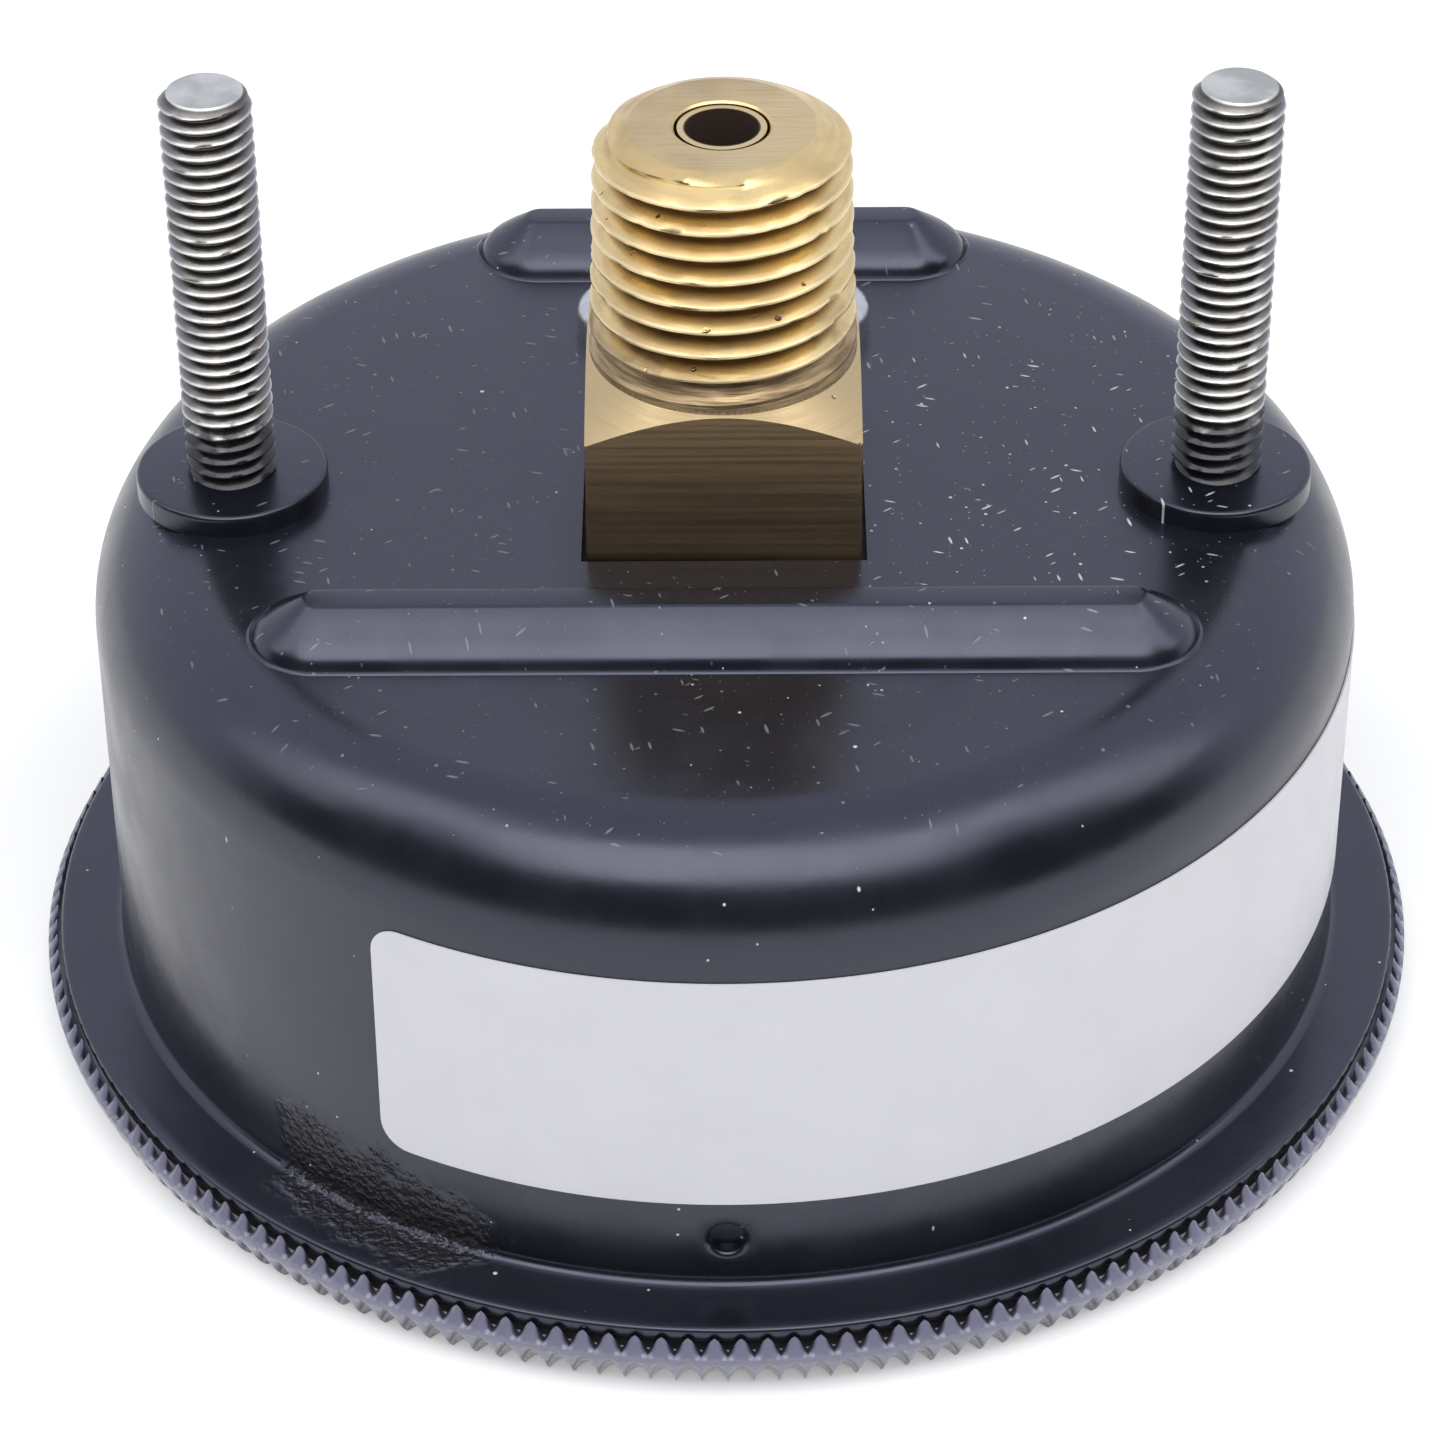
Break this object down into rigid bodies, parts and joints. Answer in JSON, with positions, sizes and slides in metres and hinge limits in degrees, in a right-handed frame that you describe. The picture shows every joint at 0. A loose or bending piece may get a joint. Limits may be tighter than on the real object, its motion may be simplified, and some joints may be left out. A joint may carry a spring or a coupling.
{
  "type": "pressure gauge",
  "caption": "Dial pressure gauge with a round black steel case, centre back brass pipe connection, two mounting studs and a knurled twist-on clear lens.",
  "frame": {"origin": "centre of the lens's flat front face, on the gauge's axis", "axes": "+Z along the gauge's axis from the lens to the pipe thread, +Y towards 12 o'clock on the dial, +X to the left of a person reading the dial"},
  "size_m": [0.0762, 0.0762, 0.0542],
  "materials": {
    "case_paint": "semi-gloss black paint",
    "zinc_steel": "zinc plated",
    "label_vinyl": "satin vinyl",
    "brass": "machined",
    "brass_bright": "machined, bright",
    "bronze_tube": "drawn phosphor bronze",
    "spring_bronze": "rolled strip",
    "steel": "turned",
    "dial_white": "matte white print",
    "pointer_black": "matte black",
    "gasket_rubber": "matte",
    "lens_clear": "clear moulded plastic"
  },
  "bodies": {
    "case": {"case": "case_paint", "mounting_studs": "zinc_steel", "stud_collars": "case_paint", "case_screws": "zinc_steel", "label": "label_vinyl", "socket": "brass", "socket_arm": "brass", "restrictor": "brass_bright", "bourdon_tube": "bronze_tube", "hairspring": "spring_bronze", "hairspring_stud": "brass_bright", "movement_back_plate": "brass_bright", "movement_front_plate": "brass_bright", "movement_pillars": "brass_bright", "pillar_screws": "steel", "movement_screws": "steel", "dial": "dial_white", "dial_posts": "brass_bright", "dial_screws": "steel", "stop_pin": "steel", "lens_gasket": "gasket_rubber"},
    "pointer": {"pinion_arbor": "steel", "pointer": "pointer_black", "pointer_hub": "brass_bright", "hairspring_collet": "brass_bright"},
    "sector": {"sector_gear": "brass_bright", "sector_arbor": "steel", "tail_pin": "steel"},
    "link": {"tip_link": "steel"},
    "tube_end": {"tube_tip": "brass", "tip_pin": "steel"},
    "lens": {"lens": "lens_clear"}
  },
  "joints": [
    {"name": "sector_swing", "type": "hinge", "parent": "case", "child": "sector", "pos_m": [0.01349, -0.00949, 0.0155], "axis": [0, 0, -1], "range_deg": [0, 27], "stiffness_Nm_per_rad": 0.0001},
    {"name": "pointer_turn", "type": "hinge", "parent": "case", "child": "pointer", "pos_m": [0, 0, 0.01], "axis": [0, 0, 1], "range_deg": [0, 270], "deforming": ["hairspring"]},
    {"name": "link_pivot", "type": "hinge", "parent": "sector", "child": "link", "pos_m": [0.0203, -0.00786, 0.0167], "axis": [0, 0, 1], "range_deg": [0, 22.3]},
    {"name": "tube_flex", "type": "hinge", "parent": "case", "child": "tube_end", "pos_m": [-0.00619, -0.00769, 0.02], "axis": [0, 0, -1], "range_deg": [0, 7.1], "deforming": ["bourdon_tube"]},
    {"name": "lens_twist", "type": "hinge", "parent": "case", "child": "lens", "pos_m": [0, 0, 0.005], "axis": [0, 0, -1], "range_deg": [0, 22]}
  ],
  "couplings": [
    {"joint": "pointer_turn", "follows": "sector_swing", "ratio": 10},
    {"joint": "link_pivot", "follows": "sector_swing", "ratio": 0.8223},
    {"joint": "tube_flex", "follows": "sector_swing", "ratio": 0.2589}
  ]
}
